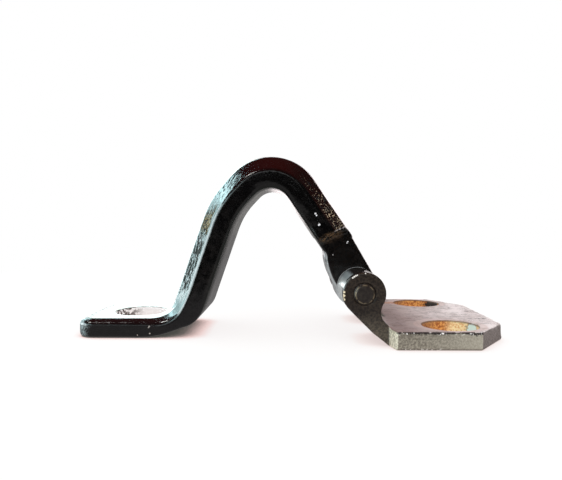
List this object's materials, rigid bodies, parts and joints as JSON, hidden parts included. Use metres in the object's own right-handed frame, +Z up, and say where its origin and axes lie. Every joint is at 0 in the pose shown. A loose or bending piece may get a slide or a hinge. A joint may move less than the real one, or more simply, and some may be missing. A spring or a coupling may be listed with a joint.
{
  "type": "trunk lid hinge",
  "caption": "Forged trunk lid hinge: a black painted goose-neck arm with a lid pad, riveted between the two lugs of a grey body bracket.",
  "frame": {"origin": "midway between the two body bolt holes, on the underside of the bracket's plate", "axes": "+X from the lid pad towards the bracket's free edge, +Y along the pivot pin, +Z up from the bracket's mounting face"},
  "size_m": [0.147, 0.0706, 0.0638],
  "materials": {
    "black_paint": "gloss",
    "grey_primer": "satin",
    "pin_steel": "satin",
    "bush_bronze": "satin"
  },
  "bodies": {
    "bracket": {"body_bracket": "grey_primer", "pivot_pin": "pin_steel"},
    "arm": {"hinge_arm": "black_paint", "front_bush": "bush_bronze", "rear_bush": "bush_bronze"}
  },
  "joints": [
    {"name": "lid_pivot", "type": "hinge", "parent": "bracket", "child": "arm", "pos_m": [-0.0292, 0, 0.0169], "axis": [0, 1, 0], "range_deg": [0, 95]}
  ]
}
